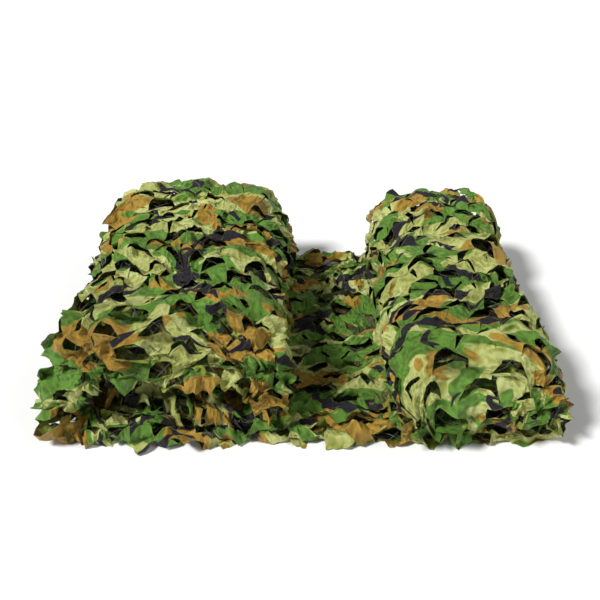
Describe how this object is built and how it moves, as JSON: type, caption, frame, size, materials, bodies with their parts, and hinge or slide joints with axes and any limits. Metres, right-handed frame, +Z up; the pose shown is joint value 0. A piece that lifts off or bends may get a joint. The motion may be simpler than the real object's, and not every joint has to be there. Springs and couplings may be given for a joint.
{
  "type": "camouflage net, folded and rolled",
  "caption": "Leaf-cut printed cloth net, folded in three along its width and rolled from both ends towards the middle, lying flat on its unrolled stretch.",
  "frame": {"origin": "on the surface that the net rests on, under the middle of the bundle", "axes": "+X runs from the left roll to the right roll, +Y along the rolls from the front fold to the back fold, +Z up"},
  "size_m": [0.887, 0.6735, 0.2308],
  "materials": {
    "leaf_cut_cloth": "thin woven polyester, printed with a woodland pattern, cut into hanging leaves, with a slight sheen"
  },
  "bodies": {
    "root": {"camouflage_net": "leaf_cut_cloth"}
  },
  "joints": []
}
